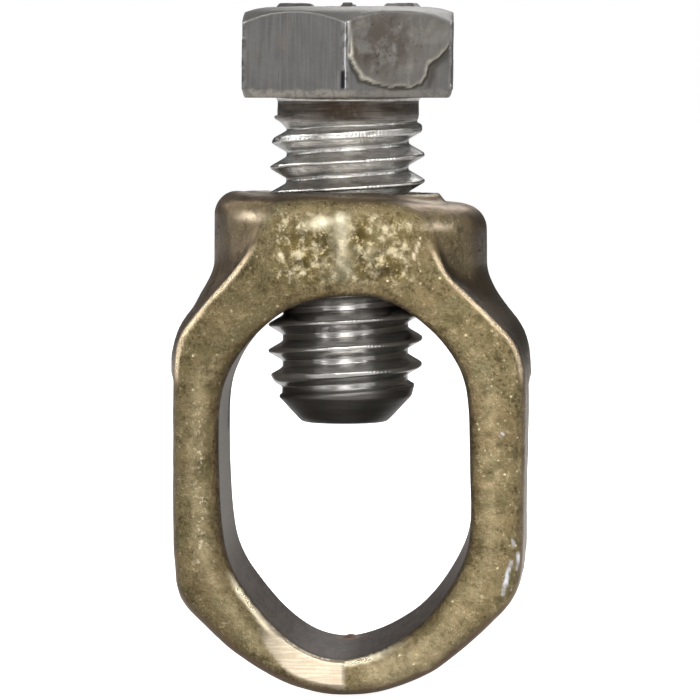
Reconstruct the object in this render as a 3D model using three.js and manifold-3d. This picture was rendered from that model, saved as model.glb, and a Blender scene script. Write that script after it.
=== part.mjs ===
// Ground clamp for a 5/8 in ground rod: a one-piece cast bronze loop with a tapped boss on top,
// and one hex-head clamping bolt, 3/8 in x 16 threads per inch.
// Frame: millimetres, +Z up along the bolt's axis, +Y along the rod (the loop's depth),
// +X across the loop. The origin is the lowest point of the loop, on the bolt's axis and
// halfway through the loop's depth.
// All heights (Z) below are measured from the centre of a 14.3 mm rod seated in the opening;
// the group is raised by ROD_CENTRE_Z at the end.
import * as THREE from "three";
import { mergeVertices, mergeGeometries } from "three/addons/utils/BufferGeometryUtils.js";
import Module from "manifold-3d";

// ---- Loop ----
const ROD_CENTRE_Z = 10.35; // from the bottom of the loop to the rod's centre
const LOOP_DEPTH = 14.0;
const LOOP_HALF = 10.78; // half the outer width, at mid-depth
const CROWN = 0.55; // how far the outer wall bulges at mid-depth, beyond its front and back edges
const CROWN_BAND = 0.4; // depth of the straight strip at the top of that bulge
const OPENING_HALF = 7.5; // half the width between the parallel sides
const OPENING_CROWN_Z = 13.7;
const OPENING_SEAT_Z = -8.0;

// ---- Boss ----
const BOSS_R = 8.3;
const BOSS_TOP_Z = 19.7;
const BOSS_EDGE_R = 1.6;
const BOSS_ROOT_Z = 11.0; // where the boss and its flare start, inside the loop
const FLARE_INSET = 0.6; // from the loop's front and back faces to the flare's
const BORE_R = 4.9; // a plain bore stands in for the tapped thread and clears the bolt's
const MOUTH_R = 5.4; // countersunk mouth of the bore

// ---- Bolt ----
const PITCH = 25.4 / 16;
const THREAD_R = 4.67;
const ROOT_R = 3.68;
const CREST_HALF = 0.09; // half the width of the crest's flat
const FLANK = (THREAD_R - ROOT_R) * Math.tan(Math.PI / 6); // along Z, for a 60 degree thread
const THREAD_PHASE_Z = 20.47; // height of a crest on the +X side
const TIP_Z = 5.9;
const TIP_R = 2.53;
const TIP_CONE_TOP_Z = 8.15;
const NECK_R = 4.28;
const NECK_BOTTOM_Z = 24.3;

// ---- Bolt head ----
const HEAD_BOTTOM_Z = 25.5;
const HEAD_HEIGHT = 5.45;
const HEAD_TOP_Z = HEAD_BOTTOM_Z + HEAD_HEIGHT;
const HEAD_ACROSS_FLATS = 12.6; // 1/2 in wrench size
const HEAD_CORNER_R = HEAD_ACROSS_FLATS / 2 / Math.cos(Math.PI / 6);
const HEAD_FLAT_TOP_R = 5.0;
const HEAD_LIP = 0.5; // height of the sloped strip along the lower edge
const HEAD_LIP_INSET = 0.22;
const MARK_LENGTH = 2.0; // raised bars on the head's top
const MARK_WIDTH = 0.6;
const MARK_HEIGHT = 0.25;
const MARK_SINK = 0.4; // how far a bar reaches down into the head
const MARK_CENTRE_R = 3.7;

// ---- Subdivision ----
const COLUMNS = 40; // round faces, unless named below
const BOSS_COLUMNS = 60;
const DOME_COLUMNS = 72;
const ARCH_STEPS = 14; // quarter of the opening's crown

const FULL_TURN = 2 * Math.PI;

const wasm = await Module();
wasm.setup();

// ---- Shape helpers ----
// Makes a manifold from a closed geometry: welds its seams and drops collapsed triangles.
function toSolid(geometry) {
  for (const name of Object.keys(geometry.attributes)) {
    if (name !== "position") geometry.deleteAttribute(name);
  }
  const welded = mergeVertices(geometry, 1e-4);
  const corners = welded.index.array;
  const triangles = [];
  for (let i = 0; i < corners.length; i += 3) {
    const triangle = [corners[i], corners[i + 1], corners[i + 2]];
    if (new Set(triangle).size === 3) triangles.push(...triangle);
  }
  return new wasm.Manifold(
    new wasm.Mesh({
      numProp: 3,
      vertProperties: new Float32Array(welded.attributes.position.array),
      triVerts: new Uint32Array(triangles),
    }),
  );
}

function toMesh(name, manifold, material) {
  const { vertProperties, triVerts } = manifold.getMesh();
  const geometry = new THREE.BufferGeometry();
  const positions = new THREE.BufferAttribute(new Float32Array(vertProperties), 3);
  geometry.setAttribute("position", positions);
  geometry.setIndex(new THREE.BufferAttribute(new Uint32Array(triVerts), 1));
  geometry.computeVertexNormals();
  const mesh = new THREE.Mesh(geometry, material);
  mesh.name = name;
  return mesh;
}

// A solid turned about +Z. The profile is [radius, z], from bottom to top, with both ends
// on the axis: in this order its faces point outwards.
function turned(profile, columns = COLUMNS) {
  const points = profile.map(([radius, z]) => new THREE.Vector2(radius, z));
  return toSolid(new THREE.LatheGeometry(points, columns).rotateX(Math.PI / 2));
}

// Extrusion options for bevels that cut in from the outline, which stays the widest section.
function insetBevel(thickness, inset, segments) {
  return {
    bevelEnabled: true,
    bevelThickness: thickness,
    bevelSize: inset,
    bevelOffset: -inset,
    bevelSegments: segments,
  };
}

// An [x, z] outline made solid along Y and centred on y = 0. The depth includes any bevels.
function slab(outline, depth, bevel = { bevelEnabled: false, bevelThickness: 0 }) {
  const shape = new THREE.Shape(outline.map(([x, z]) => new THREE.Vector2(x, z)));
  const straight = depth - 2 * bevel.bevelThickness;
  const geometry = new THREE.ExtrudeGeometry(shape, { depth: straight, ...bevel });
  geometry.translate(0, 0, -straight / 2);
  return toSolid(geometry.rotateX(Math.PI / 2));
}

// Closes a right-hand (+X) run of [x, z] points, from bottom to top, with its mirror image.
function mirrored(right) {
  const left = right.filter(([x]) => x > 1e-6).map(([x, z]) => [-x, z]);
  return [...right, ...left.reverse()];
}

// Evenly spaced points along a smooth curve through the given [x, z] points.
function smooth(points, steps) {
  const vectors = points.map(([x, z]) => new THREE.Vector3(x, z, 0));
  const curve = new THREE.CatmullRomCurve3(vectors, false, "centripetal");
  return curve.getSpacedPoints(steps).map((point) => [point.x, point.y]);
}

// ---- Clamp body ----
// Right half of the loop's outline at mid-depth, [x, z]: a pointed round bottom, straight
// sides, then shoulders that slope in under the boss.
const LOOP_BOTTOM = [
  [0, -ROD_CENTRE_Z], [1.45, -10.22], [2.65, -9.9], [4.6, -9.1], [6.15, -8.08], [7.6, -6.95],
  [9.05, -5.6], [9.9, -4.7], [10.4, -3.7], [10.68, -2.4], [LOOP_HALF, -0.6],
];
const LOOP_SHOULDER = [[LOOP_HALF, 9.4], [10.68, 10.4], [10.35, 11.4], [9.7, 12.35]];
const LOOP_SLOPE = [[8.4, 13.75], [6.0, 16.6], [5.4, 17.9]];

// Right half of the opening's bottom, [x, z]: a little more pointed than a half-circle.
const OPENING_BOTTOM = [
  [0, OPENING_SEAT_Z], [0.55, -7.95], [1.5, -7.65], [2.65, -7.15], [3.83, -6.38], [4.9, -5.4],
  [5.85, -4.1], [6.7, -2.7], [7.15, -1.4], [7.42, 0.2], [OPENING_HALF, 1.8],
];

// The boss, [radius, z]: drawn in below so that it dies into the front and back faces,
// with a rounded rim above.
const BOSS_PROFILE = [
  [0, BOSS_ROOT_Z], [6.6, BOSS_ROOT_Z], [7.0, 12.2], [7.35, 13.2], [7.75, 14.3], [8.1, 15.5],
  [BOSS_R, 16.8],
  [BOSS_R, BOSS_TOP_Z - BOSS_EDGE_R],
  [BOSS_R - BOSS_EDGE_R * 0.13, BOSS_TOP_Z - BOSS_EDGE_R * 0.5],
  [BOSS_R - BOSS_EDGE_R * 0.5, BOSS_TOP_Z - BOSS_EDGE_R * 0.13],
  [BOSS_R - BOSS_EDGE_R, BOSS_TOP_Z],
  [MOUTH_R + 0.55, BOSS_TOP_Z + 0.02], // a slight raised ring round the bore's mouth
  [MOUTH_R + 0.2, BOSS_TOP_Z + 0.2],
  [0, BOSS_TOP_Z + 0.2],
];

// The flare between the boss and the shoulders, [radius, z].
const FLARE_PROFILE = [
  [0, BOSS_ROOT_Z], [10.35, BOSS_ROOT_Z], [10.2, 11.8], [9.75, 12.4], [9.25, 13.1],
  [8.85, 13.85], [8.52, 14.7], [8.34, 15.5], [BOSS_R - 0.02, 16.4], [BOSS_R - 0.1, 17.4],
  [0, 17.4],
];

// The bore and its mouth, [radius, z]: open into the opening below and past the boss's top.
const BORE_PROFILE = [
  [0, 8], [BORE_R, 8], [BORE_R, BOSS_TOP_Z - 0.5],
  [MOUTH_R, BOSS_TOP_Z + 0.1], [MOUTH_R, BOSS_TOP_Z + 3], [0, BOSS_TOP_Z + 3],
];

function makeLoop() {
  const right = [...smooth(LOOP_BOTTOM, 20), ...smooth(LOOP_SHOULDER, 6), ...LOOP_SLOPE];
  const bulge = insetBevel((LOOP_DEPTH - CROWN_BAND) / 2, CROWN, 6);
  return slab(mirrored(right), LOOP_DEPTH, bulge);
}

function makeFlare() {
  const limit = new THREE.BoxGeometry(30, LOOP_DEPTH - 2 * FLARE_INSET, 20).translate(0, 0, 15);
  return turned(FLARE_PROFILE, BOSS_COLUMNS).intersect(toSolid(limit));
}

// The rod's opening: pointed bottom, parallel sides and a half-round crown.
function makeOpening() {
  const centreZ = OPENING_CROWN_Z - OPENING_HALF;
  const right = smooth(OPENING_BOTTOM, 18);
  for (let i = 0; i < ARCH_STEPS; i++) {
    const angle = (i / ARCH_STEPS) * (Math.PI / 2);
    right.push([OPENING_HALF * Math.cos(angle), centreZ + OPENING_HALF * Math.sin(angle)]);
  }
  right.push([0, OPENING_CROWN_Z]);
  return slab(mirrored(right), LOOP_DEPTH + 6);
}

function makeBody() {
  return makeLoop()
    .add(turned(BOSS_PROFILE, BOSS_COLUMNS))
    .add(makeFlare())
    .subtract(makeOpening())
    .subtract(turned(BORE_PROFILE));
}

// ---- Clamping bolt ----
// The thread's outer limit, [radius, z]: flat tip, cone, full diameter, then in to the neck.
const THREAD_LIMIT = [
  [0, TIP_Z], [TIP_R, TIP_Z],
  [THREAD_R + 0.05, TIP_CONE_TOP_Z], [THREAD_R + 0.05, NECK_BOTTOM_Z - 1.2],
  [NECK_R, NECK_BOTTOM_Z + 0.4], [0, NECK_BOTTOM_Z + 0.4],
];

// The neck, [radius, z]: it grows out of the thread's root and runs up into the head.
const NECK_PROFILE = [
  [0, NECK_BOTTOM_Z - 1.3], [ROOT_R - 0.1, NECK_BOTTOM_Z - 1.3],
  [ROOT_R + 0.04, NECK_BOTTOM_Z - 0.72], [NECK_R - 0.04, NECK_BOTTOM_Z - 0.02],
  [NECK_R, NECK_BOTTOM_Z + 0.06], [NECK_R, HEAD_BOTTOM_Z - 0.15],
  [NECK_R + 0.15, HEAD_BOTTOM_Z + 0.5], [0, HEAD_BOTTOM_Z + 0.5],
];

// The domed chamfer that trims the head's top, [radius, z].
const DOME_PROFILE = [
  [0, HEAD_BOTTOM_Z - 1], [HEAD_CORNER_R + 1, HEAD_BOTTOM_Z - 1],
  [HEAD_CORNER_R + 1, HEAD_TOP_Z - 1.65], [HEAD_CORNER_R, HEAD_TOP_Z - 1.0],
  [6.5, HEAD_TOP_Z - 0.42], [6.2, HEAD_TOP_Z - 0.26], [5.6, HEAD_TOP_Z - 0.08],
  [HEAD_FLAT_TOP_R, HEAD_TOP_Z], [0, HEAD_TOP_Z],
];

// Radius of the right-handed thread at a height and an angle from +X.
function threadRadius(z, angle) {
  const turns = (z - THREAD_PHASE_Z - (PITCH * angle) / FULL_TURN) / PITCH;
  const fromCrest = Math.abs(turns - Math.round(turns)) * PITCH;
  const downFlank = (fromCrest - CREST_HALF) / FLANK;
  return THREAD_R - (THREAD_R - ROOT_R) * Math.min(1, Math.max(0, downFlank));
}

// A threaded rod: a flat grid wrapped round the axis, its rows following the helix and
// flattened at both ends, closed by two discs.
function threadedRod(bottomZ, topZ) {
  const place = (positions, i, angle, z) => {
    const height = Math.min(topZ, Math.max(bottomZ, z));
    const radius = threadRadius(height, angle);
    positions.setXYZ(i, radius * Math.cos(angle), radius * Math.sin(angle), height);
  };
  const columnAngle = (column) => (column / COLUMNS) * FULL_TURN;

  // One row for each edge of the thread's form: both crest edges, then both root edges.
  const edges = [-CREST_HALF, CREST_HALF, CREST_HALF + FLANK, PITCH - CREST_HALF - FLANK];
  const first = Math.floor((bottomZ - THREAD_PHASE_Z) / PITCH) - 2;
  const last = Math.ceil((topZ - THREAD_PHASE_Z) / PITCH) + 1;
  const rows = [];
  for (let turn = first; turn <= last; turn++) {
    for (const edge of edges) rows.push(THREAD_PHASE_Z + turn * PITCH + edge);
  }
  rows.reverse(); // the plane's rows run from top to bottom

  const skin = new THREE.PlaneGeometry(1, 1, COLUMNS, rows.length - 1);
  rows.forEach((rowZ, row) => {
    for (let column = 0; column <= COLUMNS; column++) {
      const angle = columnAngle(column);
      const z = rowZ + (PITCH * angle) / FULL_TURN;
      place(skin.attributes.position, row * (COLUMNS + 1) + column, angle, z);
    }
  });

  const disc = (z) => {
    const geometry = new THREE.CircleGeometry(1, COLUMNS);
    const positions = geometry.attributes.position;
    positions.setXYZ(0, 0, 0, z);
    for (let i = 0; i <= COLUMNS; i++) place(positions, i + 1, columnAngle(i), z);
    return geometry;
  };
  const bottom = disc(bottomZ);
  bottom.index.array.reverse(); // turns its faces downwards
  return toSolid(mergeGeometries([skin, disc(topZ), bottom]));
}

// The head: a hexagon with corners at +Y and -Y and flats at +X and -X, under the dome,
// with a radial bar on top towards each corner.
function makeHead() {
  const corners = [];
  for (let i = 0; i < 6; i++) {
    const angle = -Math.PI / 2 + (i * Math.PI) / 3;
    const [x, y] = [HEAD_CORNER_R * Math.cos(angle), HEAD_CORNER_R * Math.sin(angle)];
    corners.push(new THREE.Vector2(x, y));
  }
  const block = new THREE.ExtrudeGeometry(new THREE.Shape(corners), {
    depth: HEAD_HEIGHT + 1, // past the dome, which trims it
    ...insetBevel(HEAD_LIP, HEAD_LIP_INSET, 1),
  });
  block.translate(0, 0, HEAD_BOTTOM_Z + HEAD_LIP);

  let head = toSolid(block).intersect(turned(DOME_PROFILE, DOME_COLUMNS));
  for (let i = 0; i < 6; i++) {
    const bar = new THREE.BoxGeometry(MARK_LENGTH, MARK_WIDTH, MARK_HEIGHT + MARK_SINK);
    bar.translate(MARK_CENTRE_R, 0, HEAD_TOP_Z + (MARK_HEIGHT - MARK_SINK) / 2);
    bar.rotateZ((i * Math.PI) / 3 + Math.PI / 6);
    head = head.add(toSolid(bar));
  }
  return head;
}

function makeBolt() {
  // The rod overruns the limit at both ends, so that the limit shapes them.
  const rod = threadedRod(TIP_Z - 1, NECK_BOTTOM_Z + 0.8);
  return rod.intersect(turned(THREAD_LIMIT)).add(turned(NECK_PROFILE)).add(makeHead());
}

// ---- Assembly ----
const metal = (color, roughness) =>
  new THREE.MeshStandardMaterial({ color, roughness, metalness: 1.0 });
const bronze = metal(0x8f7d52, 0.42);
const steel = metal(0x8b8985, 0.35);

const clamp = new THREE.Group();
clamp.position.z = ROD_CENTRE_Z;
clamp.add(toMesh("clamp_body", makeBody(), bronze));
clamp.add(toMesh("clamp_bolt", makeBolt(), steel));

export default clamp;
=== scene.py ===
"""A cast bronze clamp with a worn steel bolt, standing on a pale floor.

The casting is a closed loop in the X-Z plane, about 14 mm thick along Y, with a threaded boss
on top. The bolt runs down Z through the boss into the loop, towards the rod, which lies along Y.
X points right, Y away from the camera (the front is -Y) and Z up.
"""
import math
from itertools import combinations, product
from types import SimpleNamespace

import bpy
import numpy as np
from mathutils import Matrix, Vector


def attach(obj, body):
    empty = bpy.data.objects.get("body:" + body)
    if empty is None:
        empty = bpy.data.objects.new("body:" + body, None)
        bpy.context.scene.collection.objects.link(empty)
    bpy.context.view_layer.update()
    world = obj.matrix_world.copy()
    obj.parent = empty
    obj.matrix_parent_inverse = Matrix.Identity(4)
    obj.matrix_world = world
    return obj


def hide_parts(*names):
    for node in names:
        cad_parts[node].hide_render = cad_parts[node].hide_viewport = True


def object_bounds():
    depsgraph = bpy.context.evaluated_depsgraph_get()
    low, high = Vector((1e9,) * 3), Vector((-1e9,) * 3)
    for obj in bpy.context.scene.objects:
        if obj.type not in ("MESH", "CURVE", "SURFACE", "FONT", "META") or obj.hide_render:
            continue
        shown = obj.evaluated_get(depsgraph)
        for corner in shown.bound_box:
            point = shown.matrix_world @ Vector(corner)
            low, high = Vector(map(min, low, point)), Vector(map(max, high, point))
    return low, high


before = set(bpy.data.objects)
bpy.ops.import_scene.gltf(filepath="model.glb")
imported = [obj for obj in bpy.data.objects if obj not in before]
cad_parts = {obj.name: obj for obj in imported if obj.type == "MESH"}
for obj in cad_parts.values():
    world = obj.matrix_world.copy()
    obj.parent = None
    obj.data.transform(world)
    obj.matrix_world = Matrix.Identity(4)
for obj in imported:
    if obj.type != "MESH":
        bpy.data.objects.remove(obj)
cad_lo, cad_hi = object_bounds()

# Shapes are in millimetres, with heights measured from the rod's centre, ROD_Z above the frame's
# origin. Lights, floor and camera are in metres.
MM = 0.001
ROD_Z = 10.35

# Thread shared by the bolt and the bore
PITCH = 1.5875
THREAD_Z = 20.47        # height of a turn at angle 0
FLANK_SLOPE = 1.732

# Bolt
CREST_R = 4.67
ROOT_R = 3.68
NECK_R = 4.28
TIP_Z = 5.9
HEAD_Z = 25.5
HEAD_H = 5.45
HEAD_TOP = HEAD_Z + HEAD_H
APOTHEM = 6.3           # hexagon centre to flat
LIP = 0.52              # height of the tapered rim under the flats
LIP_TOP = HEAD_Z + LIP
FILLET = 0.22           # between neck and head
CROWN_R = 5.0           # flat disc on top of the head
HEX_STEP = math.pi / 3

# Casting
FACE_Y = 7.0            # half thickness of the loop
BOSS_X = 0.27


# ------------------------------------------------------------------ numeric helpers
def hash_lattice(ix, iy, iz, seed):
    """A repeatable random value in -1..1 for each lattice point."""
    h = (ix.astype(np.uint32) * np.uint32(374761393)
         + iy.astype(np.uint32) * np.uint32(668265263)
         + iz.astype(np.uint32) * np.uint32(2147483647)
         + np.uint32(seed * 1013904223 & 0xFFFFFFFF))
    h = (h ^ (h >> np.uint32(13))) * np.uint32(1274126177)
    h = (h ^ (h >> np.uint32(16))) * np.uint32(2246822519)
    h ^= h >> np.uint32(15)
    return h.astype(np.float64) / 4294967295.0 * 2.0 - 1.0


def noise(points, lump, seed, octaves=1):
    """Smooth value noise in about -1..1; lump is the size of its lumps in mm."""
    total = np.zeros(len(points))
    gain, gain_sum = 1.0, 0.0
    scaled = points / lump
    for octave in range(octaves):
        floor = np.floor(scaled)
        cell = floor.astype(np.int64)
        t = scaled - floor
        t = t * t * t * (t * (t * 6 - 15) + 10)
        value = 0.0
        for dx, dy, dz in product((0, 1), repeat=3):
            weight = t[:, 0] if dx else 1 - t[:, 0]
            weight = weight * (t[:, 1] if dy else 1 - t[:, 1])
            weight = weight * (t[:, 2] if dz else 1 - t[:, 2])
            value = value + weight * hash_lattice(
                cell[:, 0] + dx, cell[:, 1] + dy, cell[:, 2] + dz, seed + 17 * octave)
        total += gain * value
        gain_sum += gain
        gain *= 0.5
        scaled = scaled * 2.03 + 11.3
    return total / gain_sum


def step(start, end, x):
    """Smooth 0..1 as x goes from start to end; start may be the larger."""
    t = np.clip((x - start) / (end - start), 0, 1)
    return t * t * (3 - 2 * t)


def within(x, rise_from, rise_to, fall_from, fall_to):
    """Smooth window: up over the first two values, down over the last two."""
    return step(rise_from, rise_to, x) * step(fall_to, fall_from, x)


def bell(offset, width):
    return np.exp(-(offset / width) ** 2)


def smooth_union(a, b, width):
    h = np.maximum(width - np.abs(a - b), 0) / width
    return np.minimum(a, b) - h * h * width * 0.25


def round_cut(a, b, radius):
    """Intersection of two distances with a rounded edge."""
    u = np.maximum(a + radius, 0)
    v = np.maximum(b + radius, 0)
    return np.minimum(-radius, np.maximum(a, b)) + np.sqrt(u * u + v * v)


def segment_distance(x, z, start, end):
    """Distance in the X-Z plane to a segment."""
    dx, dz = end[0] - start[0], end[1] - start[1]
    t = np.clip(((x - start[0]) * dx + (z - start[1]) * dz) / (dx * dx + dz * dz), 0, 1)
    return np.hypot(x - start[0] - t * dx, z - start[1] - t * dz)


def polygon_distance(points, x, z, open_end=False):
    """Signed distance, negative inside. With open_end the closing side has no distance."""
    best = np.full(x.shape, 1e9)
    inside = np.zeros(x.shape, bool)
    for i, (start, end) in enumerate(zip(points, np.roll(points, -1, axis=0))):
        if not open_end or i < len(points) - 1:
            best = np.minimum(best, segment_distance(x, z, start, end))
        dx, dz = end[0] - start[0], end[1] - start[1]
        if dz != 0:
            crosses = (start[1] > z) != (end[1] > z)
            inside ^= crosses & (x < start[0] + (z - start[1]) / dz * dx)
    return np.where(inside, -best, best)


def gradient(distance, points, reach=0.02):
    slope = np.empty_like(points)
    for k in range(3):
        shift = np.zeros(3)
        shift[k] = reach
        ahead, behind = points + shift, points - shift
        slope[:, k] = (distance(*ahead.T) - distance(*behind.T)) / (2 * reach)
    return slope


def capped(move, limit):
    length = np.linalg.norm(move, axis=1)
    return move * np.minimum(1, limit / np.maximum(length, 1e-9))[:, None]


def thread_offset(angle, z):
    """Distance along Z to the middle of the nearest turn."""
    turns = (z - THREAD_Z - PITCH * angle / (2 * math.pi)) / PITCH
    return np.abs(turns - np.round(turns)) * PITCH


# ------------------------------------------------------------------ outlines
# Knot pairs of the three interpolation levels of a Catmull-Rom span
SPLINE_LEVELS = (((0, 1), (1, 2), (2, 3)), ((0, 2), (1, 3)), ((1, 2),))


def closed_spline(points, per_span=8):
    """Centripetal Catmull-Rom curve through a closed run of points."""
    points = np.array(points, float)
    curve = []
    for i in range(len(points)):
        near = [points[(i + k) % len(points)] for k in (-1, 0, 1, 2)]
        gaps = [np.linalg.norm(b - a) ** 0.5 for a, b in zip(near, near[1:])]
        knots = np.cumsum([0.0] + gaps)
        for j in range(per_span):
            t = knots[1] + (knots[2] - knots[1]) * j / per_span
            row = near
            for level in SPLINE_LEVELS:
                row = [(knots[hi] - t) / (knots[hi] - knots[lo]) * a
                       + (t - knots[lo]) / (knots[hi] - knots[lo]) * b
                       for (lo, hi), a, b in zip(level, row, row[1:])]
            curve.append(row[0])
    return np.array(curve)


class Outline:
    """Signed distance to a closed X-Z outline, stored on a grid and read bilinearly."""

    CELL = 0.07
    START = -13.0

    def __init__(self, points):
        xs = np.arange(self.START, 13.01, self.CELL)
        zs = np.arange(self.START, 23.01, self.CELL)
        grid_x, grid_z = np.meshgrid(xs, zs, indexing="ij")
        self.grid = polygon_distance(closed_spline(points), grid_x, grid_z)

    def __call__(self, x, z):
        grid = self.grid
        u = np.clip((x - self.START) / self.CELL, 0, grid.shape[0] - 1.001)
        v = np.clip((z - self.START) / self.CELL, 0, grid.shape[1] - 1.001)
        i, j = u.astype(np.int64), v.astype(np.int64)
        fu, fv = u - i, v - j
        return ((1 - fu) * (1 - fv) * grid[i, j] + fu * (1 - fv) * grid[i + 1, j]
                + (1 - fu) * fv * grid[i, j + 1] + fu * fv * grid[i + 1, j + 1])


# Outside of the loop: x, z, anticlockwise from the bottom as seen from the front
OUTER = Outline([
    (0.2, -10.02), (1.6, -9.92), (2.9, -9.6), (4.0, -9.2), (5.28, -8.63), (6.3, -7.9),
    (7.18, -7.18), (8.0, -6.47), (8.76, -5.75), (9.5, -5.02), (10.03, -4.3), (10.35, -3.55),
    (10.54, -2.7), (10.63, -1.7), (10.68, 0.0), (10.72, 3.0), (10.77, 6.5), (10.75, 8.4),
    (10.67, 9.4), (10.5, 10.2), (10.25, 10.85), (9.9, 11.37), (9.3, 12.02), (8.42, 12.89),
    (7.17, 14.08), (6.28, 14.97), (5.75, 15.85), (5.33, 16.75), (4.9, 17.6), (4.2, 18.35),
    (3.0, 18.9), (1.5, 19.15), (-1.5, 19.15), (-2.9, 18.95), (-3.9, 18.5), (-4.55, 17.95),
    (-5.0, 17.3), (-5.75, 16.2), (-6.75, 14.95), (-8.12, 13.4), (-9.0, 12.33), (-9.55, 11.6),
    (-9.86, 10.9), (-10.02, 10.0), (-10.08, 8.6), (-10.1, 5.0), (-10.1, 1.0), (-10.06, -1.2),
    (-9.98, -2.4), (-9.88, -3.5), (-9.6, -4.38), (-9.07, -5.05), (-8.32, -5.8), (-7.57, -6.53),
    (-6.8, -7.22), (-5.78, -7.95), (-4.7, -8.63), (-3.4, -9.3), (-2.25, -9.68), (-1.1, -9.94),
])
# Opening of the loop: x, z, in the same order
HOLE = Outline([
    (0.24, -7.9), (1.15, -7.7), (2.4, -7.24), (3.75, -6.48), (4.56, -5.86), (5.39, -5.0),
    (6.15, -3.95), (6.9, -2.65), (7.35, -1.5), (7.56, -0.3), (7.6, 1.2), (7.55, 3.2), (7.5, 5.6),
    (7.44, 7.2), (7.3, 8.3), (7.02, 9.2), (6.62, 10.0), (6.1, 10.78), (5.55, 11.42),
    (4.98, 11.96), (4.27, 12.55), (3.4, 13.12), (2.5, 13.52), (1.5, 13.76), (0.3, 13.77),
    (-0.95, 13.66), (-2.3, 13.38), (-3.44, 12.88), (-4.33, 12.25), (-5.1, 11.55), (-5.8, 10.78),
    (-6.4, 9.95), (-6.87, 9.05), (-7.2, 8.1), (-7.37, 7.0), (-7.42, 5.6), (-7.42, 4.0),
    (-7.36, 2.1), (-7.2, -0.2), (-6.9, -1.8), (-6.36, -3.05), (-5.58, -4.22), (-4.74, -5.28),
    (-3.86, -6.2), (-3.0, -6.92), (-1.96, -7.52), (-0.8, -7.86),
])
# Boss radius by height, along X (side) and along Y (front and back)
SIDE_Z = [8.0, 9.6, 10.33, 10.69, 11.05, 11.42, 11.78, 12.15, 12.51,
          12.87, 13.24, 13.6, 13.97, 14.33, 14.7, 15.06, 15.42, 18.0]
SIDE_R = [10.5, 10.55, 10.55, 10.52, 10.45, 10.33, 10.17, 9.96, 9.7,
          9.42, 9.17, 8.94, 8.74, 8.58, 8.43, 8.33, 8.27, 8.25]
FRONT_Z = [8.0, 12.2, 13.2, 14.3, 15.5, 16.8, 18.2]
FRONT_R = [6.7, 6.85, 7.08, 7.42, 7.84, 8.14, 8.2]


# ------------------------------------------------------------------ the casting as a distance
def bore_radius(x, y, z):
    cut = np.clip(5.008 - FLANK_SLOPE * thread_offset(np.arctan2(y, x), z), 3.99, 4.8)
    mouth = 4.45 + (z - 18.75) * 0.95
    return np.maximum(cut, mouth)


def boss_top(x, y):
    """Height of the boss's sloping top with its raised ring."""
    ring = np.clip(0.28 + 0.055 * x, 0.06, 0.6) * bell(np.hypot(x, y) - 5.5, 0.42)
    return 19.45 - 0.055 * (x - 0.3) + ring + 0.03 * np.sin(1.6 * x + 1.3 * y)


def casting_shell(x, y, z, outer, hole):
    """Distance to the casting before its opening is cut."""
    side = outer - 0.26 * (1 - (y / FACE_Y) ** 2) - 0.07 * bell(y, 0.22)
    across = np.clip(-outer / np.maximum(hole - outer, 0.5), 0, 1) * 2 - 1
    crown = 0.17 * across * across * (1 - 0.75 * step(11.0, 14.0, z))
    face = np.abs(y) - FACE_Y + crown
    rightward = 0.2 * step(-5.0, 6.0, x)
    loop = round_cut(side, face, 0.72 + rightward - (0.38 + rightward) * step(8.5, 12.0, z))

    boss_x = x - BOSS_X
    r = np.sqrt(boss_x * boss_x + y * y) + 1e-9
    sideways = np.clip(boss_x * boss_x / (r * r), 0, 1) ** 1.25
    left_hollow = 0.3 * step(1.0, -3.0, x) * within(z, 9.6, 11.3, 12.6, 13.9)
    side_r = np.interp(z, SIDE_Z, SIDE_R) - left_hollow
    front_r = np.interp(z, FRONT_Z, FRONT_R)
    radial = r - (side_r * sideways + front_r * (1 - sideways))
    boss = np.maximum(round_cut(radial, z - boss_top(x, y), 1.45), 9.2 - z)
    return smooth_union(loop, boss, 1.25)


def nib_reach(x, y, z):
    """Stretched distance from the centre of the small nib low in the opening, near the back."""
    return np.sqrt(((x - 0.15) / 1.5) ** 2 + (y - 5.0) ** 2 * 0.7 + (z + 7.95) ** 2)


def casting_parts(x, y, z, outer=None, hole=None):
    """The rounded shell and the opening's wall, which meet at a sharp rim."""
    outer = OUTER(x, z) if outer is None else outer
    hole = HOLE(x, z) if hole is None else hole
    shell = casting_shell(x, y, z, outer, hole)
    return round_cut(shell, -hole - 0.13, 0.8 - 0.3 * step(9.0, 12.5, z)), -hole


def casting_distance(x, y, z, outer=None, hole=None):
    solid = np.maximum(*casting_parts(x, y, z, outer, hole))
    solid = smooth_union(solid, nib_reach(x, y, z) - 0.3, 0.15)
    bore = (np.hypot(x, y) - bore_radius(x, y, z)) * 0.62
    return np.where(z > 11.2, round_cut(solid, -bore, 0.05), solid)


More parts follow.
